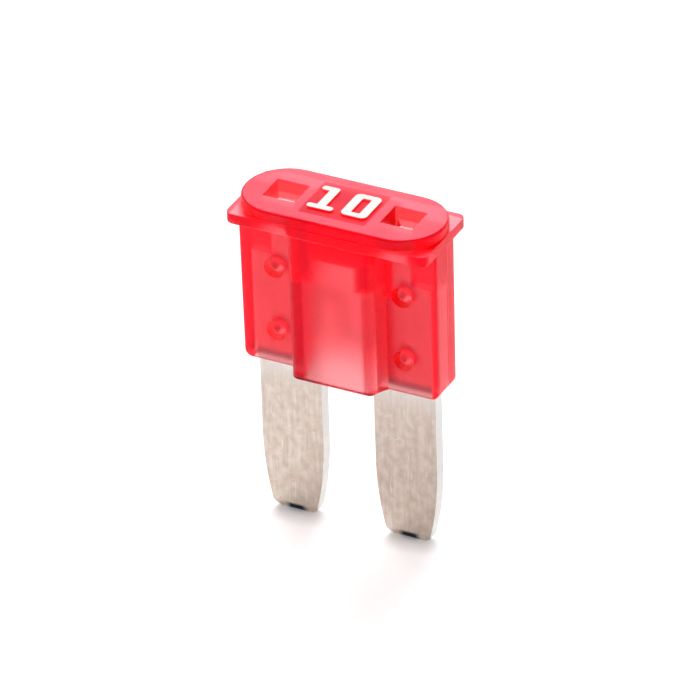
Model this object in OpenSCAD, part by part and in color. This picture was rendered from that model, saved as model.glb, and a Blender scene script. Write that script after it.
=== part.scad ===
// Two-blade automotive fuse: a moulded translucent housing with a head that is gripped and probed,
// staked onto one flat metal stamping whose two blades plug into a holder.
// The origin is midway between the blade tips, on the plane they stand on. +Z runs up through the
// housing, +X along its width, and the front faces -Y.

/* [Head] */
// Height from the blade tips to the head's top face
total_h = 15.3; // [14.6:0.1:16.6]
// Length of the round-ended head plate
head_w = 9.0; // [8.6:0.1:9.4]
// Width of the head plate, front to back
head_d = 3.74; // [3.5:0.02:3.9]
// Thickness of the head plate
head_t = 0.46; // [0.4:0.02:0.8]

/* [Rim] */
// Length of the rim below the head
rim_w = 9.1; // [9.0:0.1:9.8]
// Width of the rim, front to back
rim_d = 3.8; // [3.7:0.1:4.4]
// Thickness of the rim
rim_t = 0.5; // [0.4:0.02:0.8]
// Radius of the rim's four corners
rim_corner_r = 0.35; // [0.2:0.05:0.8]

/* [Body] */
// Width of the body where it meets the rim
body_w = 8.98; // [8.8:0.02:9.1]
// Thickness of the body beside the chamber
body_d = 1.7; // [1.6:0.05:2]
// Height of the body below the rim
body_h = 6.9; // [6.6:0.1:7.4]
// How far each end leans in towards the bottom
end_draft = 0.06; // [0:0.01:0.12]
// Radius of the body's bottom corners
body_corner_r = 0.35; // [0.2:0.05:0.6]

/* [Chamber] */
// Width of the chamber's front and back faces
chamber_face_w = 3.82; // [3.6:0.02:4.2]
// Width of the chamber where it leaves the body
chamber_foot_w = 4.36; // [4.3:0.02:4.8]
// Thickness of the chamber, front to back
chamber_d = 3.34; // [3:0.02:3.6]
// Radius of the chamber's upright edges
chamber_edge_r = 0.36; // [0.2:0.02:0.5]
// Wall left around the hollow in the chamber
chamber_wall = 0.45; // [0.35:0.05:0.6]
// Radius of the hollow's upright corners
hollow_r = 0.3; // [0.2:0.05:0.5]
// Height of the hollow's wide part above the body's bottom
hollow_h = 4.7; // [4.4:0.1:5]
// Width of the hollow's narrow top
hollow_top_w = 2.2; // [1.8:0.1:2.6]
// Height of the narrow top above the wide part
hollow_top_h = 1.1; // [0.8:0.1:1.4]

/* [Probe pockets] */
// Length of each pocket in the head
pocket_w = 1.43; // [1.2:0.01:1.5]
// Width of each pocket, front to back
pocket_d = 1.38; // [1.2:0.02:1.6]
// Depth of each pocket
pocket_depth = 1.3; // [1:0.1:1.4]
// Distance from the centre to the middle of each pocket
pocket_x = 2.66; // [2.6:0.02:2.8]

/* [Blades] */
// Width of each blade
blade_w = 2.82; // [2.6:0.02:3]
// Thickness of the stamping
blade_t = 0.6; // [0.5:0.05:0.7]
// Distance between the two blades' centre lines
blade_pitch = 5.22; // [5.1:0.02:5.3]
// Height at which a blade starts to narrow
taper_h = 3.6; // [3:0.1:4.4]
// Radius of the long curve that each blade edge narrows along
taper_r = 14; // [12:0.5:20]
// Radius of the tip's corners
tip_corner_r = 0.42; // [0.3:0.02:0.5]
// Thickness of the coined tip edge
tip_t = 0.26; // [0.2:0.01:0.45]
// Height of the coined bevel
tip_bevel_h = 0.36; // [0.3:0.02:0.8]
// Height of the outer shoulder above the body's bottom
shoulder_out_up = 5.0; // [4.95:0.05:5.2]
// Height of the inner shoulder above the body's bottom
shoulder_in_up = 4.2; // [4:0.05:4.4]
// Width of the probe neck
neck_w = 0.82; // [0.7:0.02:1]
// Distance from the centre to the middle of each probe neck
neck_x = 2.76; // [2.7:0.02:2.8]
// Depth of the neck's top below the head's top face
neck_below_head = 0.62; // [0.5:0.02:0.9]

/* [Fusible link] */
// Thickness of the thinned link
link_t = 0.25; // [0.15:0.05:0.4]
// Height of the link, bottom to top
link_h = 2.6; // [2.2:0.1:3]
// How far the link's upper edge lies below the inner shoulders
link_drop = 0.05; // [0:0.05:0.4]
// Width of the two slots that leave an S-shaped path
link_slot_w = 0.66; // [0.5:0.02:0.8]
// Distance from the centre to each slot
link_slot_x = 0.62; // [0.5:0.02:0.7]
// How far each slot runs past the link's mid height
link_slot_past = 0.55; // [0.3:0.05:0.7]
// How far the link runs into each blade
link_bite = 0.1; // [0.05:0.05:0.3]

/* [Staking] */
// Distance from the centre to the staking points
stake_x = 2.9; // [2.8:0.02:3]
// Height of the lower staking points above the body's bottom
stake_up = 1.58; // [1.4:0.02:1.8]
// Distance from the lower staking points to the upper ones
stake_pitch = 3.0; // [2.8:0.02:3.1]
// Radius of each staking recess
recess_r = 0.46; // [0.4:0.02:0.55]
// Depth of each staking recess
recess_depth = 0.3; // [0.2:0.02:0.36]
// Radius of the plastic stake that fills the blade's hole
stake_r = 0.25; // [0.2:0.01:0.28]

/* [Rating figures] */
// Height of the figures
figure_h = 1.72; // [1.4:0.02:1.9]
// Width of each figure
figure_w = 1.16; // [1:0.02:1.2]
// Distance between the figures' centres
figure_pitch = 1.52; // [1.48:0.02:1.6]
// Width of a figure's upright strokes
upright_stroke = 0.38; // [0.25:0.01:0.42]
// Width of a figure's level strokes
level_stroke = 0.28; // [0.2:0.01:0.34]
// How far the moulded figures stand above the head
figure_rise = 0.06; // [0.04:0.01:0.12]
// Thickness of the white foil on the figures
foil_t = 0.03; // [0.02:0.01:0.05]

/* [Fits] */
// Gap between the stamping and its slot on every side
slot_gap = 0.05; // [0.03:0.01:0.08]
// Gap between a stake and the hole in the blade
stake_gap = 0.02; // [0.01:0.01:0.04]
// Height of the flared lead-in under the slot
lead_in_h = 0.4; // [0.2:0.05:0.6]
// How far the lead-in opens on each side
lead_in = 0.2; // [0.1:0.02:0.26]

/* [Hidden] */
plastic_color = [0.93, 0.16, 0.22, 0.72];
metal_color = [0.83, 0.78, 0.73];
foil_color = [0.98, 0.93, 0.91];
arc_steps = 8;
fine_fn = 96;
small_fn = 48;
// How far a cut runs past a face
over = 0.2;
sides = [-1, 1];
head_z = total_h - head_t;
rim_z = head_z - rim_t;
body_z = rim_z - body_h;
slot_d = blade_t + 2 * slot_gap;
hollow_w = chamber_face_w - 2 * chamber_wall;
hollow_d = chamber_d - 2 * chamber_wall;
hollow_top_z = body_z + hollow_h;
pocket_z = total_h - pocket_depth;
neck_top_z = total_h - neck_below_head;
neck_in = neck_x - neck_w / 2;
neck_out = neck_x + neck_w / 2;
blade_x = blade_pitch / 2;
blade_in = blade_x - blade_w / 2;
blade_out = blade_x + blade_w / 2;
taper_angle = asin((taper_h - tip_corner_r) / (taper_r - tip_corner_r));
tip_corner_in = taper_r - (taper_r - tip_corner_r) * cos(taper_angle);
recess_floor_y = body_d / 2 - recess_depth;
stake_heights = [body_z + stake_up, body_z + stake_up + stake_pitch];
shoulder_out_z = body_z + shoulder_out_up;
shoulder_in_z = body_z + shoulder_in_up;
link_top_z = shoulder_in_z - link_drop;
link_low_z = link_top_z - link_h;
link_mid_z = (link_low_z + link_top_z) / 2;
figure_corner_r = level_stroke / 2 - 0.02;
zero_corner_r = 0.24;
zero_hole_r = 0.06;
flag_w = figure_w / 2 + upright_stroke / 2;

// Points along an arc about c, from angle a0 to a1
function arc(c, r, a0, a1) =
    [for (i = [0 : arc_steps])
        let (a = a0 + (a1 - a0) * i / arc_steps)
        [c[0] + r * cos(a), c[1] + r * sin(a)]];

// A slab with upright edges rounded to r, standing on z = 0 and centred on the axis
module rounded_slab(w, d, h, r, fn) {
    translate([-w / 2 + r, -d / 2, 0])
        cube([w - 2 * r, d, h]);
    translate([-w / 2, -d / 2 + r, 0])
        cube([w, d - 2 * r, h]);
    for (sx = sides, sy = sides)
        translate([sx * (w / 2 - r), sy * (d / 2 - r), 0])
            cylinder(h = h, r = r, $fn = fn);
}

// A flat outline in X and Z given a thickness t about the middle plane
module upright_plate(points, t) {
    rotate([90, 0, 0])
        linear_extrude(height = t, center = true)
            polygon(points);
}

// The round-ended plate on top
module head_plate() {
    translate([0, 0, head_z])
        linear_extrude(height = head_t)
            union() {
                square([head_w - head_d, head_d], center = true);
                for (s = sides)
                    translate([s * (head_w - head_d) / 2, 0])
                        circle(d = head_d, $fn = fine_fn);
            }
}

// The thin rim that the holder stops against
module rim() {
    translate([0, 0, rim_z])
        rounded_slab(rim_w, rim_d, rim_t, rim_corner_r, small_fn);
}

// Outline of the body seen from the front, narrowing a little to the bottom
function body_outline() =
    let (low = body_w / 2 - end_draft, c = low - body_corner_r, z = body_z + body_corner_r)
    concat(
        [[body_w / 2, rim_z + rim_t / 2], [-body_w / 2, rim_z + rim_t / 2]],
        arc([-c, z], body_corner_r, 180, 270),
        arc([c, z], body_corner_r, 270, 360)
    );

// Outline of the chamber seen from above, wider at its foot than at its faces
function chamber_outline() =
    let (
        cx = chamber_face_w / 2 - chamber_edge_r,
        cy = chamber_d / 2 - chamber_edge_r,
        fx = chamber_foot_w / 2,
        fy = body_d / 2
    )
    concat(
        arc([cx, -cy], chamber_edge_r, -90, 0),
        [[fx, -fy], [fx, fy]],
        arc([cx, cy], chamber_edge_r, 0, 90),
        arc([-cx, cy], chamber_edge_r, 90, 180),
        [[-fx, fy], [-fx, -fy]],
        arc([-cx, -cy], chamber_edge_r, 180, 270)
    );

// The moulded block before anything is hollowed out
module housing_block() {
    head_plate();
    rim();
    upright_plate(body_outline(), body_d);
    translate([0, 0, body_z])
        linear_extrude(height = rim_z + rim_t / 2 - body_z)
            polygon(chamber_outline());
    translate([0, 0, total_h - head_t / 2])
        linear_extrude(height = head_t / 2 + figure_rise)
            rating_outline();
}

// The hollow that the link hangs in, open at the bottom
module hollow() {
    translate([0, 0, body_z - over])
        rounded_slab(hollow_w, hollow_d, hollow_h + over, hollow_r, small_fn);
    translate([0, 0, hollow_top_z - hollow_r])
        rounded_slab(hollow_top_w, hollow_d, hollow_top_h + hollow_r, hollow_r, small_fn);
}

// The slot for one side of the stamping, from the bottom up to the probe pocket
module blade_slot() {
    in_x = blade_in - slot_gap;
    out_x = blade_out + slot_gap;
    translate([in_x, -slot_d / 2, body_z - over])
        cube([out_x - in_x, slot_d, shoulder_in_z + slot_gap - body_z + over]);
    translate([neck_in - slot_gap, -slot_d / 2, body_z - over])
        cube([out_x - neck_in + slot_gap, slot_d, shoulder_out_z + slot_gap - body_z + over]);
    translate([neck_in - slot_gap, -slot_d / 2, body_z])
        cube([neck_w + 2 * slot_gap, slot_d, pocket_z + over - body_z]);
}

// The flared mouth that guides the stamping into both slots
module lead_in_flare() {
    half = slot_d / 2;
    run = 2 * (blade_out + slot_gap);
    rotate([90, 0, 90])
        linear_extrude(height = run, center = true)
            polygon([
                [-half - lead_in, body_z - over],
                [half + lead_in, body_z - over],
                [half + lead_in, body_z],
                [half, body_z + lead_in_h],
                [-half, body_z + lead_in_h],
                [-half - lead_in, body_z]
            ]);
}

// One probe pocket in the head
module probe_pocket() {
    translate([pocket_x - pocket_w / 2, -pocket_d / 2, pocket_z])
        cube([pocket_w, pocket_d, pocket_depth + over]);
}

// The recesses that the staking punches leave at one point, front and back
module staking_recesses() {
    for (s = sides)
        translate([0, s * (recess_floor_y + (recess_depth + over) / 2), 0])
            rotate([90, 0, 0])
                cylinder(h = recess_depth + over, r = recess_r, center = true, $fn = small_fn);
}

// A round bar across the body's thickness
module cross_bar(r, length) {
    rotate([90, 0, 0])
        cylinder(h = length, r = r, center = true, $fn = small_fn);
}

// Places its children at all four staking points
module at_stakes() {
    for (s = sides, z = stake_heights)
        translate([s * stake_x, 0, z])
            children();
}

// The housing, moulded in one piece, with the stakes driven through the blades
module housing() {
    color(plastic_color)
        union() {
            difference() {
                housing_block();
                hollow();
                lead_in_flare();
                for (s = [0, 1])
                    mirror([s, 0, 0]) {
                        blade_slot();
                        probe_pocket();
                    }
                at_stakes()
                    staking_recesses();
            }
            at_stakes()
                cross_bar(stake_r, 2 * recess_floor_y);
        }
}

// Outline of the right-hand blade with its shoulders and probe neck
function blade_outline() =
    let (
        corner_in = blade_in + tip_corner_in,
        corner_out = blade_out - tip_corner_in,
        last = taper_angle * (arc_steps - 1) / arc_steps
    )
    concat(
        arc([corner_in, tip_corner_r], tip_corner_r, 180 + taper_angle, 270),
        arc([corner_out, tip_corner_r], tip_corner_r, 270, 360 - taper_angle),
        arc([blade_out - taper_r, taper_h], taper_r, -last, 0),
        [
            [blade_out, shoulder_out_z],
            [neck_out, shoulder_out_z],
            [neck_out, neck_top_z],
            [neck_in, neck_top_z],
            [neck_in, shoulder_in_z],
            [blade_in, shoulder_in_z]
        ],
        arc([blade_in + taper_r, taper_h], taper_r, 180, 180 + last)
    );

// Side profile of the stamping, with the coined bevel at the tips
module coined_profile() {
    thick = blade_t / 2;
    thin = tip_t / 2;
    rotate([90, 0, 90])
        linear_extrude(height = 2 * (blade_out + over), center = true)
            polygon([
                [-thin, 0],
                [thin, 0],
                [thick, tip_bevel_h],
                [thick, total_h],
                [-thick, total_h],
                [-thick, tip_bevel_h]
            ]);
}

// The thinned sheet between the blades, slotted from above and below into an S
module link() {
    half_w = blade_in + link_bite;
    difference() {
        translate([-half_w, -link_t / 2, link_low_z])
            cube([2 * half_w, link_t, link_h]);
        translate([link_slot_x, 0, link_mid_z - link_slot_past + link_slot_w / 2]) {
            cross_bar(link_slot_w / 2, blade_t);
            translate([-link_slot_w / 2, -blade_t / 2, 0])
                cube([link_slot_w, blade_t, link_h]);
        }
        translate([-link_slot_x, 0, link_mid_z + link_slot_past - link_slot_w / 2]) {
            cross_bar(link_slot_w / 2, blade_t);
            translate([-link_slot_w / 2, -blade_t / 2, -link_h])
                cube([link_slot_w, blade_t, link_h]);
        }
    }
}

// The stamping: two blades, their probe necks and the link between them
module fuse_element() {
    color(metal_color)
        difference() {
            union() {
                intersection() {
                    for (s = [0, 1])
                        mirror([s, 0, 0])
                            upright_plate(blade_outline(), blade_t);
                    coined_profile();
                }
                link();
            }
            at_stakes()
                cross_bar(stake_r + stake_gap, blade_t + over);
        }
}

// A flat rounded bar from (x0, y0) to (x1, y1)
module bar(x0, y0, x1, y1, r) {
    w = x1 - x0;
    h = y1 - y0;
    translate([x0 + r, y0])
        square([w - 2 * r, h]);
    translate([x0, y0 + r])
        square([w, h - 2 * r]);
    for (x = [x0 + r, x1 - r], y = [y0 + r, y1 - r])
        translate([x, y])
            circle(r = r, $fn = small_fn);
}

// The figure one, with a flag and a foot
module figure_one() {
    half_w = figure_w / 2;
    half_h = figure_h / 2;
    half_stroke = upright_stroke / 2;
    bar(-half_stroke, -half_h, half_stroke, half_h, figure_corner_r);
    bar(-half_w, -half_h, half_w, -half_h + level_stroke, figure_corner_r);
    bar(half_stroke - flag_w, half_h - level_stroke, half_stroke, half_h, figure_corner_r);
}

// The figure nought, a squared ring
module figure_nought() {
    half_w = figure_w / 2;
    half_h = figure_h / 2;
    difference() {
        bar(-half_w, -half_h, half_w, half_h, zero_corner_r);
        bar(-half_w + upright_stroke, -half_h + level_stroke,
            half_w - upright_stroke, half_h - level_stroke, zero_hole_r);
    }
}

// Both figures on the head, flat
module rating_outline() {
    translate([-figure_pitch / 2, 0])
        figure_one();
    translate([figure_pitch / 2, 0])
        figure_nought();
}

// The white foil pressed onto the raised figures
module rating_figures() {
    color(foil_color)
        translate([0, 0, total_h + figure_rise])
            linear_extrude(height = foil_t)
                rating_outline();
}

housing();
fuse_element();
rating_figures();
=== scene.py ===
"""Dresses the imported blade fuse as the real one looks.

The housing is one moulding of red dyed nylon that lets light through, the stamping inside it is
plated sheet with sheared edges, and the figures on the head carry pressed white foil.
"""

import logging
import math
from collections.abc import Callable, Iterator
from dataclasses import dataclass, field
from enum import Enum
from typing import Protocol

import bmesh
import bpy
from mathutils import Matrix, Vector


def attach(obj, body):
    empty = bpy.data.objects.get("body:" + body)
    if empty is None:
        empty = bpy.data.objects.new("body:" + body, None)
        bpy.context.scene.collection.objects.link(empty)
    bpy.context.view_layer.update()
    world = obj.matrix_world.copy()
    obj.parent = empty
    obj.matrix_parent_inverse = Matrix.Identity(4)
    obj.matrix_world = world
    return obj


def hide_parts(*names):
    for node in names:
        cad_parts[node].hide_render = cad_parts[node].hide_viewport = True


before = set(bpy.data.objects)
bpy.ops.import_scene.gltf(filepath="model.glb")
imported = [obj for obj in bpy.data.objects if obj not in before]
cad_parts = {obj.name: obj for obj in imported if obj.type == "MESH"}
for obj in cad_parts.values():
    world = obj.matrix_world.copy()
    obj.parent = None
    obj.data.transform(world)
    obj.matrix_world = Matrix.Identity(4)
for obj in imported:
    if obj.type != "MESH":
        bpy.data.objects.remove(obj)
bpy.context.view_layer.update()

Colour = tuple[float, float, float, float]
Place = tuple[float, float, float]
Spot = tuple[float, float]

MM = 0.001
LOG = logging.getLogger("blade_fuse")

# How near a corner lies to a plane that it is counted on, in millimetres.
NEAR = 0.001
# How near two corners lie that they are one, in millimetres: anywhere, and on a rounding.
SAME = 0.0005
SAME_ON_ROUNDING = 0.003
# The cosine past which an edge is counted as running along an axis.
ALONG = 0.9
# How many sides a round pin has, and up to which turn in degrees faces are smoothed as one.
PIN_SIDES = 48
SMOOTH_TURN = 32
# What a noise pattern mostly stays within.
GRAIN: Spot = (0.3, 0.7)
# How often light may pass the plastic's many walls, and how often it may scatter.
CLEAR_BOUNCES = 32
MATTE_BOUNCES = 8
# Where the blades are staked to the housing, in X and Z, in millimetres.
STAKES: tuple[Spot, ...] = tuple((side * 2.9, z) for side in (-1, 1) for z in (9.02, 12.02))


def linear(code: str) -> Colour:
    """Turns an sRGB colour into the linear one that Blender's sockets hold.

    Args:
        code: The colour as a hash sign and six hex digits.

    Returns:
        Red, green, blue and an alpha of one.
    """
    parts = [int(code[i : i + 2], 16) / 255 for i in (1, 3, 5)]
    red, green, blue = (c / 12.92 if c <= 0.04045 else ((c + 0.055) / 1.055) ** 2.4 for c in parts)
    return (red, green, blue, 1.0)


def add_node(
    tree: bpy.types.NodeTree,
    kind: str,
    inputs: dict[str | int, object] | None = None,
    **settings: object,
) -> bpy.types.Node:
    """Adds one node, sets it and links it.

    Args:
        tree: The node tree that takes the node.
        kind: Its type without the ShaderNode prefix.
        inputs: Its sockets by name or number, each with a value or the output that feeds it, or a
            node whose first output does.
        **settings: Its own properties, such as operation or data_type.

    Returns:
        The new node.
    """
    node = tree.nodes.new(f"ShaderNode{kind}")
    for name, value in settings.items():
        setattr(node, name, value)
    for key, value in (inputs or {}).items():
        if isinstance(value, bpy.types.Node):
            value = value.outputs[0]
        if isinstance(value, bpy.types.NodeSocket):
            tree.links.new(value, node.inputs[key])
        else:
            node.inputs[key].default_value = value
    return node


def new_material(name: str) -> tuple[bpy.types.Material, bpy.types.NodeTree]:
    """Starts an empty node material.

    Args:
        name: The material's name.

    Returns:
        The material and its node tree.
    """
    material = bpy.data.materials.new(name)
    material.use_nodes = True
    material.node_tree.nodes.clear()
    return material, material.node_tree


def place_in_mm(tree: bpy.types.NodeTree) -> bpy.types.Node:
    """Adds the place on the object, in millimetres.

    Args:
        tree: The node tree that takes it.

    Returns:
        The node that gives it.
    """
    place = add_node(tree, "TexCoord").outputs["Object"]
    return add_node(tree, "VectorMath", {0: place, "Scale": 1 / MM}, operation="SCALE")


def grain(
    tree: bpy.types.NodeTree,
    place: bpy.types.Node,
    size: float,
    detail: float = 2.0,
    stretch: Place = (1.0, 1.0, 1.0),
) -> bpy.types.Node:
    """Adds a noise pattern whose marks have a real size.

    Args:
        tree: The node tree that takes it.
        place: The place on the object, in millimetres.
        size: About how wide one mark is, in millimetres.
        detail: How many finer patterns lie over it.
        stretch: How often the pattern repeats along each axis, against its own rate.

    Returns:
        The pattern, which stays mostly within GRAIN.
    """
    drawn = add_node(tree, "Mapping", {"Vector": place, "Scale": stretch})
    return add_node(tree, "TexNoise", {"Vector": drawn, "Scale": 1 / size, "Detail": detail})


def layer(
    tree: bpy.types.NodeTree,
    base: Colour | bpy.types.NodeSocket,
    code: str,
    share: float,
    *limits: tuple[bpy.types.Node | bpy.types.NodeSocket, Spot],
) -> bpy.types.NodeSocket:
    """Lays a colour over another wherever all the limits hold.

    Args:
        tree: The node tree that takes it.
        base: The colour below.
        code: The colour above, as a hash sign and six hex digits.
        share: How much of it there is where it is full.
        *limits: Each a value, with where along it the colour starts and where it is full.

    Returns:
        The new colour.
    """
    cover = share
    for value, (start, full) in limits:
        ramp = add_node(tree, "MapRange", {"Value": value, "From Min": start, "From Max": full})
        cover = add_node(tree, "Math", {0: ramp, 1: cover}, operation="MULTIPLY")
    mixed = add_node(tree, "Mix", {0: cover, 6: base, 7: linear(code)}, data_type="RGBA")
    return mixed.outputs[2]


class Finish(Protocol):
    """What a piece is made of."""

    def material(self) -> bpy.types.Material:
        """Builds the material."""


class Cut(Enum):
    """What one solid does to another."""

    ADD = "UNION"
    TAKE = "DIFFERENCE"


class Element(Enum):
    """What is chosen on a mesh."""

    EDGE = "EDGE"
    CORNER = "VERT"


def only(piece: bpy.types.Object) -> None:
    """Makes one object the only selected one and the active one.

    Args:
        piece: The object.
    """
    bpy.ops.object.select_all(action="DESELECT")
    piece.select_set(True)
    bpy.context.view_layer.objects.active = piece


def block(low: Place, high: Place) -> bpy.types.Object:
    """Adds a block between two corners, in millimetres.

    Args:
        low: Its lowest corner.
        high: Its highest corner.

    Returns:
        The block, with its place in its mesh.
    """
    start, end = Vector(low), Vector(high)
    bpy.ops.object.select_all(action="DESELECT")
    bpy.ops.mesh.primitive_cube_add(size=1.0, location=(start + end) / 2, scale=end - start)
    bpy.ops.object.transform_apply(location=True, rotation=True, scale=True)
    return bpy.context.active_object


def cross_pin(place: Spot, radius: float, near: float, far: float) -> bpy.types.Object:
    """Adds a round pin that runs front to back, in millimetres.

    Args:
        place: Its centre in X and Z.
        radius: Its radius.
        near: Where it starts in Y.
        far: Where it ends in Y.

    Returns:
        The pin, with its place in its mesh.
    """
    bpy.ops.object.select_all(action="DESELECT")
    bpy.ops.mesh.primitive_cylinder_add(
        vertices=PIN_SIDES,
        radius=radius,
        depth=abs(far - near),
        location=(place[0], (near + far) / 2, place[1]),
        rotation=(math.pi / 2, 0, 0),
    )
    bpy.ops.object.transform_apply(location=True, rotation=True, scale=True)
    return bpy.context.active_object


def pick(
    piece: bpy.types.Object,
    test: Callable[[Vector, Vector], bool],
    kind: Element = Element.EDGE,
) -> None:
    """Opens a piece in edit mode with the edges or corners chosen that pass a test.

    Args:
        piece: The mesh piece.
        test: Takes an edge's middle and its direction, or a corner's place twice.
        kind: Whether edges or corners are chosen.
    """
    only(piece)
    bpy.ops.object.mode_set(mode="EDIT")
    bpy.ops.mesh.select_mode(type=kind.value)
    bpy.ops.mesh.select_all(action="DESELECT")
    work = bmesh.from_edit_mesh(piece.data)
    if kind is Element.CORNER:
        for corner in work.verts:
            corner.select_set(test(corner.co, corner.co))
    else:
        for edge in work.edges:
            start, end = (corner.co for corner in edge.verts)
            edge.select_set(test((start + end) / 2, (end - start).normalized()))
    work.select_flush_mode()
    bmesh.update_edit_mesh(piece.data)


def round_edges(
    piece: bpy.types.Object,
    test: Callable[[Vector, Vector], bool],
    radius: float,
    steps: int = 3,
) -> None:
    """Rounds the edges of a piece that pass a test.

    Args:
        piece: The mesh piece.
        test: Takes an edge's middle and its direction.
        radius: The rounding's radius in millimetres.
        steps: Faces across the rounding.
    """
    pick(piece, test)
    bpy.ops.mesh.bevel(offset=radius, segments=steps, profile=0.5, clamp_overlap=False)
    bpy.ops.mesh.select_all(action="SELECT")
    bpy.ops.mesh.remove_doubles(threshold=SAME_ON_ROUNDING)
    bpy.ops.object.mode_set(mode="OBJECT")


def halve(piece: bpy.types.Object, level: float) -> None:
    """Draws a line of edges round a piece, at one place front to back.

    Args:
        piece: The mesh piece.
        level: The place in Y, in millimetres.
    """
    pick(piece, lambda middle, way: True)
    bpy.ops.mesh.bisect(plane_co=(0, level, 0), plane_no=(0, 1, 0))
    bpy.ops.object.mode_set(mode="OBJECT")


def grow_corners(
    piece: bpy.types.Object,
    test: Callable[[Vector, Vector], bool],
    times: Place,
    centre: Place,
) -> None:
    """Spreads or draws in the corners of a piece that pass a test.

    Args:
        piece: The mesh piece.
        test: Takes a corner's place twice.
        times: How many times as far from the centre they go along each axis.
        centre: The place that they are scaled about.
    """
    pick(piece, test, Element.CORNER)
    bpy.ops.transform.resize(value=times, orient_type="GLOBAL", center_override=centre)
    bpy.ops.object.mode_set(mode="OBJECT")


def move_corners(
    piece: bpy.types.Object, test: Callable[[Vector, Vector], bool], step: Place
) -> None:
    """Moves the corners of a piece that pass a test.

    Args:
        piece: The mesh piece.
        test: Takes a corner's place twice.
        step: How far they move, in millimetres.
    """
    pick(piece, test, Element.CORNER)
    bpy.ops.transform.translate(value=step)
    bpy.ops.object.mode_set(mode="OBJECT")


def work_with(piece: bpy.types.Object, tool: bpy.types.Object, cut: Cut) -> None:
    """Adds a solid to a piece or takes it away, and removes the solid.

    Args:
        piece: The piece that is kept.
        tool: The solid that is added or taken away.
        cut: Which of the two.
    """
    only(piece)
    step = piece.modifiers.new("cut", "BOOLEAN")
    step.operation = cut.value
    step.solver = "EXACT"
    step.object = tool
    bpy.ops.object.modifier_apply(modifier=step.name)
    bpy.data.objects.remove(tool)
    bpy.ops.object.mode_set(mode="EDIT")
    bpy.ops.mesh.select_all(action="SELECT")
    bpy.ops.mesh.remove_doubles(threshold=SAME)
    bpy.ops.mesh.dissolve_degenerate(threshold=SAME)
    bpy.ops.object.mode_set(mode="OBJECT")


def merged_copy(node: str, name: str) -> bpy.types.Object:
    """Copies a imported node's solid into a piece of its own, in millimetres.

    Args:
        node: The node that is copied.
        name: The new piece's name.

    Returns:
        The copy, with its triangles joined along their edges.
    """
    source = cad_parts[node]
    piece = bpy.data.objects.new(name, source.data.copy())
    bpy.context.scene.collection.objects.link(piece)
    piece.data.materials.clear()
    piece.data.transform(Matrix.Scale(1 / MM, 4))
    only(piece)
    bpy.ops.mesh.customdata_custom_splitnormals_clear()
    bpy.ops.object.mode_set(mode="EDIT")
    bpy.ops.mesh.select_all(action="SELECT")
    bpy.ops.mesh.remove_doubles(threshold=SAME)
    bpy.ops.object.mode_set(mode="OBJECT")
    return piece


def finish_piece(piece: bpy.types.Object, finish: Finish, node: str) -> bpy.types.Object:
    """Smooths a piece, brings it to metres, dresses it and puts it in its node's place.

    Args:
        piece: The mesh piece, in millimetres.
        finish: What it is made of.
        node: The node that it stands for, which is hidden.

    Returns:
        The piece.
    """
    only(piece)
    bpy.ops.object.mode_set(mode="EDIT")
    bpy.ops.mesh.select_all(action="SELECT")
    bpy.ops.mesh.remove_doubles(threshold=SAME)
    bpy.ops.object.mode_set(mode="OBJECT")
    bpy.ops.object.shade_smooth_by_angle(angle=math.radians(SMOOTH_TURN))
    even = piece.modifiers.new("normals", "WEIGHTED_NORMAL")
    even.keep_sharp = True
    even.weight = 100
    bpy.ops.object.modifier_apply(modifier=even.name)
    piece.data.transform(Matrix.Scale(MM, 4))
    piece.data.materials.append(finish.material())
    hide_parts(node)
    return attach(piece, "root")


@dataclass(frozen=True)
class DyedNylon:
    """Polyamide 66 dyed red in the mass and injection moulded.

    To the eye it is a bright red that lets light through: pale where it is thin and deep where it
    is thick. Its outside is satin. The cores that form its chamber leave that matte, so that the
    link behind the wall shows only as a soft patch.
    """

    clear: str = "#FFFFFF"
    sheen: str = "#FF60C0"
    dye: str = "#FD0044"
    dye_per_mm: float = 2.25
    ior: float = 1.46
    satin: Spot = (0.3, 0.4)
    matte: float = 0.6
    chamber_x_mm: float = 1.5
    chamber_y_mm: float = 1.26
    flow_mark_mm: float = 1.6
    relief: float = 0.5
    relief_mm: float = 0.006

    def material(self) -> bpy.types.Material:
        """Builds the material.

        Returns:
            The material, clear at its skin and dyed in its volume.
        """
        material, tree = new_material("dyed_nylon")
        place = place_in_mm(tree)
        flow = grain(tree, place, self.flow_mark_mm)
        satin = add_node(
            tree,
            "MapRange",
            {
                "Value": flow,
                "From Min": GRAIN[0],
                "From Max": GRAIN[1],
                "To Min": self.satin[0],
                "To Max": self.satin[1],
            },
        )
        across = add_node(tree, "SeparateXYZ", {"Vector": place})
        cored = 1.0
        for axis, reach in (("X", self.chamber_x_mm), ("Y", self.chamber_y_mm)):
            out = add_node(tree, "Math", {0: across.outputs[axis]}, operation="ABSOLUTE")
            near = add_node(tree, "Math", {0: out, 1: reach}, operation="LESS_THAN")
            cored = add_node(tree, "Math", {0: near, 1: cored}, operation="MULTIPLY")
        rough = add_node(tree, "Mix", {0: cored, 2: satin, 3: self.matte})
        bump = add_node(
            tree,
            "Bump",
            {"Strength": self.relief, "Distance": self.relief_mm * MM, "Height": flow},
        )
        skin = add_node(
            tree,
            "BsdfPrincipled",
            {
                "Base Color": linear(self.clear),
                "Roughness": rough,
                "IOR": self.ior,
                "Specular Tint": linear(self.sheen),
                "Transmission Weight": 1.0,
                "Normal": bump,
            },
        )
        dye = add_node(
            tree,
            "VolumeAbsorption",
            {"Color": linear(self.dye), "Density": self.dye_per_mm / MM},
        )
        add_node(tree, "OutputMaterial", {"Surface": skin, "Volume": dye})
        return material


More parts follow.
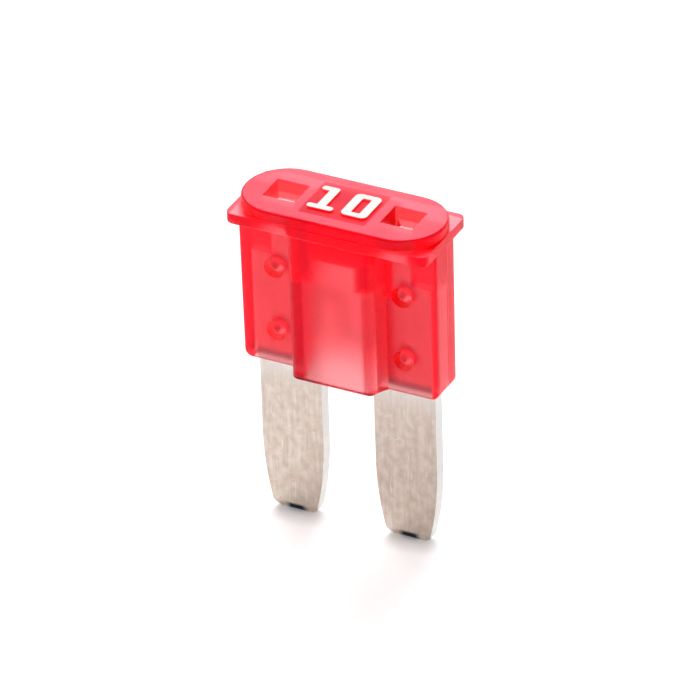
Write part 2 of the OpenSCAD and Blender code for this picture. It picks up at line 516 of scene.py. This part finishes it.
@dataclass(frozen=True)
class PlatedSheet:
    """Zinc alloy sheet, rolled, tin plated and stamped.

    To the eye it is a matte warm silver, with brownish mottling from handling and fine streaks
    along the roll. It stays clean and bright under the housing and just below it, and carries a
    few whitish scratches. Painted shadow darkens a band just inside the housing's mouth and a
    strip at the foot of each tip. The cut sides are paler, partly as unplated metal and partly as
    painted light.
    """

    plate: str = "#EDE2D8"
    cloud: str = "#DCCABB"
    streak: str = "#D9CBBF"
    clean: str = "#F3EFEB"
    # Painted shadow: a dark band on the metal just inside the housing's mouth.
    mouth_painted_shade: str = "#8E7C70"
    scratch: str = "#FAF7F3"
    # Pale cut sides: partly unplated cut metal, partly painted light.
    sheared_side_and_painted_light: str = "#E9F0EF"
    # Painted shadow at the foot of each tip.
    tip_painted_shade: str = "#333849"
    roughness: Spot = (0.36, 0.55)
    cloud_mm: float = 0.32
    cloud_in: Spot = (0.38, 0.66)
    streak_mm: float = 0.08
    streak_in: Spot = (0.45, 0.75)
    streak_share: float = 0.6
    clean_z_mm: Spot = (6.2, 7.4)
    clean_wander_mm: float = 0.7
    clean_share: float = 0.9
    mouth_painted_shade_x_mm: Spot = (1.95, 2.05)
    mouth_painted_shade_z_mm: tuple[Spot, Spot] = ((7.5, 7.58), (7.95, 7.75))
    mouth_painted_shade_share: float = 0.6
    scratch_mm: float = 0.07
    scratch_in: Spot = (0.68, 0.74)
    scratch_turn: float = 0.5
    scratch_share: float = 0.7
    sheared_side_and_painted_light_in: Spot = (0.5, 0.8)
    sheared_side_and_painted_light_share: float = 0.7
    tip_x_mm: float = 2.61
    tip_painted_shade_x_mm: Spot = (0.52, 0.26)
    tip_painted_shade_z_mm: Spot = (0.39, 0.23)
    relief: float = 0.35
    relief_mm: float = 0.006

    def material(self) -> bpy.types.Material:
        """Builds the material.

        Returns:
            The material, all metal, with its marks in its colour, roughness and relief.
        """
        material, tree = new_material("plated_sheet")
        place = place_in_mm(tree)
        across = add_node(tree, "SeparateXYZ", {"Vector": place})
        height = across.outputs["Z"]
        out = add_node(tree, "Math", {0: across}, operation="ABSOLUTE")
        clouds = grain(tree, place, self.cloud_mm, 6.0, (1.0, 1.0, 0.7))
        streaks = grain(tree, place, self.streak_mm, 3.0, (1.0, 1.0, 0.04))
        base = layer(tree, linear(self.plate), self.cloud, 1.0, (clouds, self.cloud_in))
        base = layer(tree, base, self.streak, self.streak_share, (streaks, self.streak_in))
        wander = add_node(
            tree,
            "MapRange",
            {
                "Value": clouds,
                "From Min": GRAIN[0],
                "From Max": GRAIN[1],
                "To Min": -self.clean_wander_mm,
                "To Max": self.clean_wander_mm,
            },
        )
        reach = add_node(tree, "Math", {0: height, 1: wander}, operation="ADD")
        base = layer(tree, base, self.clean, self.clean_share, (reach, self.clean_z_mm))
        # Painted shadow: darkens the blades just inside the housing's mouth, outside the chamber,
        # where the gap between metal and plastic lies in shadow.
        mouth_painted_shade_limits = [(out, self.mouth_painted_shade_x_mm)] + [(height, limit) for limit in self.mouth_painted_shade_z_mm]
        base = layer(tree, base, self.mouth_painted_shade, self.mouth_painted_shade_share, *mouth_painted_shade_limits)
        turn = (0.0, self.scratch_turn, 0.0)
        turned = add_node(tree, "Mapping", {"Vector": place, "Rotation": turn})
        for way, long in ((place, (1.0, 1.0, 0.08)), (turned, (0.12, 1.0, 1.0))):
            marks = grain(tree, way, self.scratch_mm, 2.0, long)
            base = layer(tree, base, self.scratch, self.scratch_share, (marks, self.scratch_in))
        # The blades' cut sides, picked by the way they face, are paler: partly their own unplated
        # cut metal, partly painted light standing in for the light that falls on the blades'
        # sides.
        normal = add_node(tree, "NewGeometry").outputs["Normal"]
        facing = add_node(tree, "SeparateXYZ", {"Vector": normal})
        aside = add_node(tree, "Math", {0: facing}, operation="ABSOLUTE")
        base = layer(tree, base, self.sheared_side_and_painted_light, self.sheared_side_and_painted_light_share, (aside, self.sheared_side_and_painted_light_in))
        # Painted shadow: a dark strip low on each tip's front and back, standing in for the
        # shadowed table that the tip's lower bevel reflects.
        off = add_node(tree, "Math", {0: out, 1: self.tip_x_mm}, operation="SUBTRACT")
        off = add_node(tree, "Math", {0: off}, operation="ABSOLUTE")
        base = layer(tree, base, self.tip_painted_shade, 1.0, (off, self.tip_painted_shade_x_mm), (height, self.tip_painted_shade_z_mm))
        rough = add_node(
            tree,
            "MapRange",
            {
                "Value": streaks,
                "From Min": GRAIN[0],
                "From Max": GRAIN[1],
                "To Min": self.roughness[0],
                "To Max": self.roughness[1],
            },
        )
        bump = add_node(
            tree,
            "Bump",
            {"Strength": self.relief, "Distance": self.relief_mm * MM, "Height": streaks},
        )
        metal = add_node(
            tree,
            "BsdfPrincipled",
            {"Base Color": base, "Metallic": 1.0, "Roughness": rough, "Normal": bump},
        )
        add_node(tree, "OutputMaterial", {"Surface": metal})
        return material


@dataclass(frozen=True)
class PressedFoil:
    """Hot stamping foil pressed onto the raised figures; a flat warm white with a fine grain."""

    white: str = "#FCE8E4"
    worn: str = "#F4D9D4"
    roughness: Spot = (0.4, 0.6)
    grain_mm: float = 0.12
    worn_in: Spot = (0.45, 0.75)

    def material(self) -> bpy.types.Material:
        """Builds the material.

        Returns:
            The material, with a slightly uneven white and an uneven sheen.
        """
        material, tree = new_material("pressed_foil")
        fine = grain(tree, place_in_mm(tree), self.grain_mm, 3.0)
        rough = add_node(
            tree,
            "MapRange",
            {
                "Value": fine,
                "From Min": GRAIN[0],
                "From Max": GRAIN[1],
                "To Min": self.roughness[0],
                "To Max": self.roughness[1],
            },
        )
        base = layer(tree, linear(self.white), self.worn, 1.0, (fine, self.worn_in))
        foil = add_node(tree, "BsdfPrincipled", {"Base Color": base, "Roughness": rough})
        add_node(tree, "OutputMaterial", {"Surface": foil})
        return material


@dataclass
class Housing:
    """The moulded housing, with its edges broken as a mould leaves them, in millimetres."""

    top: float = 15.3
    head_w: float = 9.0
    head_d: float = 3.74
    head_t: float = 0.46
    rim_w: float = 9.1
    rim_d: float = 3.8
    rim_t: float = 0.5
    rim_corner_r: float = 0.35
    body_w: float = 8.98
    body_d: float = 1.7
    bottom: float = 7.44
    end_draft: float = 0.06
    body_corner_r: float = 0.35
    face_w: float = 3.82
    foot_w: float = 4.36
    chamber_d: float = 3.34
    chamber_edge_r: float = 0.36
    chamber_edge_spare: float = 0.004
    hollow_w: float = 2.92
    hollow_d: float = 2.44
    hollow_r: float = 0.3
    hollow_top: float = 12.14
    narrow_w: float = 2.2
    narrow_top: float = 13.24
    pocket_x: float = 2.66
    pocket_w: float = 1.43
    pocket_d: float = 1.38
    pocket_floor: float = 14.0
    slot_d: float = 0.7
    slot_in: float = 1.15
    slot_out: float = 4.07
    neck_slot_in: float = 2.3
    neck_slot_out: float = 3.22
    inner_shoulder: float = 11.69
    outer_shoulder: float = 12.49
    flare_h: float = 0.4
    flare: float = 0.2
    recess_r: float = 0.46
    recess_floor: float = 0.55
    stake_r: float = 0.4
    stake_reach: float = 0.45
    recess_floor_r: float = 0.33
    recess_mouth_r: float = 0.03
    parting_y: float = 0.2
    parting_step: float = 0.014
    parting_slope: float = 0.01
    figure_rise: float = 0.06
    edge_r: float = 0.12
    soft_r: float = 0.1
    ledge_r: float = 0.02
    mouth: float = 0.05
    over: float = 0.2
    finish: DyedNylon = field(default_factory=DyedNylon)

    def head(self) -> bpy.types.Object:
        """Builds the round-ended plate on top.

        Returns:
            The plate.
        """
        w, d = self.head_w / 2, self.head_d / 2
        head = block((-w, -d, self.top - self.head_t - self.over), (w, d, self.top))
        round_edges(head, lambda middle, way: abs(way.z) > ALONG, d - NEAR, 28)
        round_edges(head, lambda middle, way: middle.z > self.top - NEAR, self.edge_r, 4)
        return head

    def rim(self) -> bpy.types.Object:
        """Builds the rim that the holder stops against.

        Returns:
            The rim.
        """
        w, d, high = self.rim_w / 2, self.rim_d / 2, self.top - self.head_t
        low = high - self.rim_t
        rim = block((-w, -d, low), (w, d, high))
        round_edges(rim, lambda middle, way: abs(way.z) > ALONG, self.rim_corner_r, 10)
        round_edges(rim, lambda middle, way: middle.z > high - NEAR, self.ledge_r, 2)
        round_edges(rim, lambda middle, way: middle.z < low + NEAR, self.soft_r, 3)
        return rim

    def body(self) -> bpy.types.Object:
        """Builds the thin body, narrower at its bottom and with rounded lower corners.

        Returns:
            The body, with a small step on its end faces where the mould halves part.
        """
        w, d = self.body_w / 2, self.body_d / 2
        body = block((-w, -d, self.bottom), (w, d, self.top - self.head_t - self.over))
        for side in (-1, 1):
            move_corners(
                body,
                lambda corner, _, s=side: corner.z < self.bottom + NEAR and corner.x * s > 0,
                (-side * self.end_draft, 0, 0),
            )
        round_edges(
            body,
            lambda middle, way: middle.z < self.bottom + NEAR and abs(way.y) > ALONG,
            self.body_corner_r,
            8,
        )
        round_edges(
            body,
            lambda middle, way: abs(middle.y) > d - NEAR and middle.z < self.top - 1,
            self.edge_r,
            4,
        )
        parting = (self.parting_y, self.parting_y + self.parting_slope)
        for level in parting:
            halve(body, level)
        end = w - self.end_draft - self.body_corner_r - self.parting_slope
        for side in (-1, 1):
            move_corners(
                body,
                lambda corner, _, s=side: corner.y > sum(parting) / 2 and corner.x * s > end,
                (side * self.parting_step, 0, 0),
            )
        return body

    def chamber(self) -> bpy.types.Object:
        """Builds the thick middle that holds the link, wider at its foot than at its faces.

        Returns:
            The chamber's outside, still solid.
        """
        w, d = self.face_w / 2, self.chamber_d / 2
        foot = self.body_d / 2
        chamber = block((-w, -d, self.bottom), (w, d, self.top - self.head_t - self.over))
        for level in (-d + self.chamber_edge_r, -foot, foot, d - self.chamber_edge_r):
            halve(chamber, level)
        for side in (-1, 1):
            move_corners(
                chamber,
                lambda corner, _, s=side: abs(corner.y) < foot + NEAR and corner.x * s > 0,
                (side * (self.foot_w - self.face_w) / 2, 0, 0),
            )
        round_edges(
            chamber,
            lambda middle, way: abs(way.z) > ALONG and abs(middle.y) > d - NEAR,
            self.chamber_edge_r - self.chamber_edge_spare,
            8,
        )
        round_edges(
            chamber,
            lambda middle, way: middle.z < self.bottom + NEAR
            and abs(middle.y) > foot + NEAR,
            self.soft_r,
            3,
        )
        return chamber

    def raised_figures(self) -> bpy.types.Object:
        """Builds the raised figures under the foil, from the foil's own outline.

        Returns:
            The two figures, which reach down into the head.
        """
        figures = merged_copy("rating_figures", "raised_figures")
        low = self.top + self.figure_rise
        high = low + NEAR
        move_corners(figures, lambda corner, _: corner.z < high, (0, 0, -self.over))
        for corner in figures.data.vertices:
            corner.co.z = min(corner.co.z, low)
        return figures

    def hollows(self) -> Iterator[bpy.types.Object]:
        """Gives the chamber's hollow.

        Yields:
            The wide lower part, and then the narrow upper one.
        """
        under = self.bottom - self.over
        w, d = self.hollow_w / 2, self.hollow_d / 2
        hollow = block((-w, -d, under), (w, d, self.hollow_top))
        round_edges(hollow, lambda middle, way: abs(way.z) > ALONG, self.hollow_r, 6)
        yield hollow
        w = self.narrow_w / 2
        narrow = block((-w, -d, self.hollow_top - self.hollow_r), (w, d, self.narrow_top))
        round_edges(narrow, lambda middle, way: abs(way.z) > ALONG, self.hollow_r, 6)
        yield narrow

    def openings(self) -> Iterator[bpy.types.Object]:
        """Gives the slots that the stamping stands in and the two probe pockets.

        Yields:
            Each solid that is taken away.
        """
        under = self.bottom - self.over
        d = self.slot_d / 2
        small = self.mouth * math.tan(math.pi / 8)
        flare = block((-self.slot_out, -d, under), (self.slot_out, d, self.bottom + self.flare_h))
        for side in (-1, 1):
            move_corners(
                flare,
                lambda corner, _, s=side: corner.z < self.bottom and corner.y * s > 0,
                (0, side * self.flare * (self.flare_h + self.over) / self.flare_h, 0),
            )
        yield flare
        for side in (-1, 1):
            for near, far, low, high in (
                (self.slot_in, self.slot_out, under, self.inner_shoulder),
                (self.neck_slot_in, self.slot_out, under, self.outer_shoulder),
                (self.neck_slot_in, self.neck_slot_out, self.bottom, self.top - self.head_t),
            ):
                ends = sorted((side * near, side * far))
                yield block((ends[0], -d, low), (ends[1], d, high))
            x, w, pd = side * self.pocket_x, self.pocket_w / 2, self.pocket_d / 2
            yield block((x - w, -pd, self.pocket_floor), (x + w, pd, self.top + self.over))
            for wider, depth in ((small, self.mouth), (self.mouth, small)):
                mouth = block((x - w, -pd, self.top - depth), (x + w, pd, self.top + self.over))
                out = wider * (depth + self.over) / depth
                grow_corners(
                    mouth,
                    lambda corner, _: corner.z > self.top,
                    (1 + out / w, 1 + out / pd, 1),
                    (x, 0, self.top),
                )
                yield mouth

    def punch(self, place: Spot, floor: float, face: float) -> bpy.types.Object:
        """Builds the tapered nose of a staking punch.

        Args:
            place: Its centre in X and Z.
            floor: Where its flat end stands in Y.
            face: Where its other end stands in Y, outside the body.

        Returns:
            The punch, as wide as a recess where it passes the body's face.
        """
        deep = self.body_d / 2 - self.recess_floor
        grown = (self.recess_r - self.recess_floor_r) * (deep + self.over) / deep
        wide = self.recess_floor_r + grown
        punch = cross_pin(place, wide, floor, face)
        grow_corners(
            punch,
            lambda corner, _: abs(corner.y - floor) < NEAR,
            (self.recess_floor_r / wide, 1, self.recess_floor_r / wide),
            (place[0], floor, place[1]),
        )
        return punch

    def on_recess_mouth(self, middle: Vector, _: Vector) -> bool:
        """Tells whether an edge lies round the mouth of a staking recess.

        Args:
            middle: The edge's middle.

        Returns:
            Whether it does.
        """
        gaps = (math.hypot(middle.x - x, middle.z - z) - self.recess_r for x, z in STAKES)
        on_face = abs(abs(middle.y) - self.body_d / 2) < NEAR
        return on_face and any(abs(gap) < SAME_ON_ROUNDING for gap in gaps)

    def build(self) -> bpy.types.Object:
        """Builds the housing.

        Returns:
            The piece, riding on the root and standing for its node.
        """
        piece = self.body()
        piece.name = piece.data.name = "housing_moulding"
        work_with(piece, self.chamber(), Cut.ADD)
        for solid in self.hollows():
            work_with(piece, solid, Cut.TAKE)
        for solid in (self.rim(), self.head(), self.raised_figures()):
            work_with(piece, solid, Cut.ADD)
        for solid in self.openings():
            work_with(piece, solid, Cut.TAKE)
        for place in STAKES:
            for side in (-1, 1):
                floor, face = side * self.recess_floor, side * (self.body_d / 2 + self.over)
                work_with(piece, self.punch(place, floor, face), Cut.TAKE)
        pick(piece, self.on_recess_mouth)
        bpy.ops.mesh.bevel(offset=self.recess_mouth_r, segments=3, profile=0.5, clamp_overlap=True)
        bpy.ops.object.mode_set(mode="OBJECT")
        for place in STAKES:
            stake = cross_pin(place, self.stake_r, -self.stake_reach, self.stake_reach)
            work_with(piece, stake, Cut.ADD)
        return finish_piece(piece, self.finish, "housing")


@dataclass
class FuseElement:
    """The stamping: two blades, their probe necks and the fusible link, in millimetres."""

    sheared_r: float = 0.045
    hole_r: float = 0.42
    hole_reach: float = 1.0
    flat_angle: float = 0.6
    sharp_angle: float = 40.0
    merge: float = 0.001
    finish: PlatedSheet = field(default_factory=PlatedSheet)

    def build(self) -> bpy.types.Object:
        """Builds the stamping, with its sheared edges rolled over.

        Returns:
            The piece, riding on the root and standing for its node.
        """
        piece = merged_copy("fuse_element", "fuse_stamping")
        for place in STAKES:
            pin = cross_pin(place, self.hole_r, -self.hole_reach, self.hole_reach)
            work_with(piece, pin, Cut.TAKE)
        only(piece)
        bpy.ops.object.mode_set(mode="EDIT")
        bpy.ops.mesh.select_all(action="SELECT")
        bpy.ops.mesh.dissolve_limited(angle_limit=math.radians(self.flat_angle))
        bpy.ops.mesh.select_mode(type="EDGE")
        bpy.ops.mesh.select_all(action="DESELECT")
        bpy.ops.mesh.edges_select_sharp(sharpness=math.radians(self.sharp_angle))
        bpy.ops.mesh.bevel(offset=self.sheared_r, segments=2, profile=0.5, clamp_overlap=True)
        bpy.ops.mesh.select_all(action="SELECT")
        bpy.ops.mesh.remove_doubles(threshold=self.merge)
        bpy.ops.object.mode_set(mode="OBJECT")
        return finish_piece(piece, self.finish, "fuse_element")


@dataclass
class RatingFigures:
    """The white foil on the two raised figures."""

    finish: PressedFoil = field(default_factory=PressedFoil)

    def build(self) -> bpy.types.Object:
        """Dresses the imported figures.

        Returns:
            The node's object.
        """
        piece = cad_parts["rating_figures"]
        piece.data.materials.clear()
        piece.data.materials.append(self.finish.material())
        return piece


@dataclass
class Studio:
    """A white table under soft light, with the camera where the photograph was taken."""

    azimuth: float = 27.6
    elevation: float = 31.8
    roll: float = -1.9
    focal_px: float = 8000.0
    frame_px: float = 700.0
    distance: float = 327.6
    aim_height: float = 7.65
    aim_drop_px: float = 14.4
    sky: float = 0.62
    table: str = "#F4F4F4"
    table_size: float = 6.0
    seen_lift: float = 0.38
    through_lift: float = 0.28
    tip_x_mm: float = 2.61
    tip_half_w_mm: float = 0.6
    tip_half_t_mm: float = 0.13
    painted_shadow_reach_mm: float = 1.25
    lamp_size: float = 0.5
    lamp_watts: float = 3.1
    lamp_place: Place = (-0.193, 0.372, 0.42)

    def camera(self) -> bpy.types.Object:
        """Sets up the camera.

        Returns:
            The camera's object.
        """
        a, e, r = (math.radians(v) for v in (self.azimuth, self.elevation, self.roll))
        right = Vector((math.cos(a), math.sin(a), 0))
        back = Vector((math.sin(a) * math.cos(e), -math.cos(a) * math.cos(e), math.sin(e)))
        up = back.cross(right)
        image_right = math.cos(r) * right + math.sin(r) * up
        image_up = -math.sin(r) * right + math.cos(r) * up
        data = bpy.data.cameras.new("camera")
        data.sensor_width = 36.0
        data.lens = self.focal_px / self.frame_px * data.sensor_width
        data.clip_start, data.clip_end = 0.01, 20.0
        camera = bpy.data.objects.new("camera", data)
        bpy.context.scene.collection.objects.link(camera)
        px_per_mm = self.focal_px / self.distance
        aim = Vector((0, 0, self.aim_height)) + image_up * self.aim_drop_px / px_per_mm
        place = (aim + back * self.distance) * MM
        turn = Matrix((image_right, image_up, back)).transposed().to_4x4()
        camera.matrix_world = Matrix.Translation(place) @ turn
        bpy.context.scene.camera = camera
        return camera

    def floor(self) -> bpy.types.Object:
        """Lays the white table.

        Returns:
            The table's object.
        """
        bpy.ops.object.select_all(action="DESELECT")
        bpy.ops.mesh.primitive_plane_add(size=self.table_size)
        floor = bpy.context.active_object
        floor.name = "table"
        # Matte white board: an even white to the eye. Its glow for the camera fades out near the
        # tips, which paints a tighter, darker contact shadow there over the lamps' own.
        material, tree = new_material("white_table")
        away = add_node(tree, "VectorMath", {0: place_in_mm(tree)}, operation="ABSOLUTE")
        for operation, other in (
            ("SUBTRACT", (self.tip_x_mm, 0.0, 0.0)),
            ("ABSOLUTE", (0.0, 0.0, 0.0)),
            ("SUBTRACT", (self.tip_half_w_mm, self.tip_half_t_mm, 0.0)),
            ("MAXIMUM", (0.0, 0.0, 0.0)),
        ):
            away = add_node(tree, "VectorMath", {0: away, 1: other}, operation=operation)
        # How far a place on the table lies from the nearer tip: there its own glow fades out,
        # leaving a painted shadow.
        gap = add_node(tree, "VectorMath", {0: away}, operation="LENGTH").outputs["Value"]
        tip_painted_shade = add_node(
            tree,
            "MapRange",
            {"Value": gap, "From Max": self.painted_shadow_reach_mm, "To Max": self.seen_lift},
        )
        path = add_node(tree, "LightPath")
        seen, through = path.outputs["Is Camera Ray"], path.outputs["Is Transmission Ray"]
        seen = add_node(tree, "Math", {0: seen, 1: tip_painted_shade}, operation="MULTIPLY")
        lift = add_node(
            tree, "Math", {0: through, 1: self.through_lift, 2: seen}, operation="MULTIPLY_ADD"
        )
        matte = add_node(tree, "BsdfDiffuse", {"Color": linear(self.table)})
        glow = add_node(tree, "Emission", {"Strength": lift})
        both = add_node(tree, "AddShader", {0: matte, 1: glow})
        add_node(tree, "OutputMaterial", {"Surface": both})
        floor.data.materials.append(material)
        return floor

    def lights(self) -> bpy.types.Object:
        """Sets the soft sky, and the large softbox behind the object.

        Returns:
            The softbox.
        """
        world = bpy.data.worlds.new("soft_tent")
        bpy.context.scene.world = world
        world.use_nodes = True
        tree = world.node_tree
        tree.nodes.clear()
        seen = add_node(tree, "LightPath").outputs["Is Camera Ray"]
        strength = add_node(tree, "MapRange", {"Value": seen, "To Min": self.sky, "To Max": 1.0})
        sky = add_node(tree, "Background", {"Color": linear("#FFFFFF"), "Strength": strength})
        add_node(tree, "OutputWorld", {"Surface": sky})
        lamp = bpy.data.lights.new("softbox", "AREA")
        lamp.shape = "SQUARE"
        lamp.size = self.lamp_size
        lamp.energy = self.lamp_watts
        box = bpy.data.objects.new("softbox", lamp)
        bpy.context.scene.collection.objects.link(box)
        place = Vector(self.lamp_place)
        turn = (place - Vector((0, 0, self.aim_height * MM))).to_track_quat("Z", "Y")
        box.matrix_world = Matrix.Translation(place) @ turn.to_matrix().to_4x4()
        return box


def main() -> None:
    """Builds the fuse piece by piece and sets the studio."""
    logging.basicConfig(level=logging.INFO, format="%(name)s: %(message)s")
    for part in (Housing(), FuseElement(), RatingFigures()):
        piece = part.build()
        LOG.info("%s: %d faces", piece.name, len(piece.data.polygons))
    studio = Studio()
    studio.camera()
    studio.floor()
    studio.lights()
    scene = bpy.context.scene
    scene.view_settings.view_transform = "Standard"
    scene.cycles.max_bounces = CLEAR_BOUNCES
    scene.cycles.glossy_bounces = CLEAR_BOUNCES
    scene.cycles.transmission_bounces = CLEAR_BOUNCES
    scene.cycles.diffuse_bounces = MATTE_BOUNCES
    # Blurred glossy light would be lost inside the satin plastic and darken it.
    scene.cycles.blur_glossy = 0.0


if __name__ == "__main__":
    main()
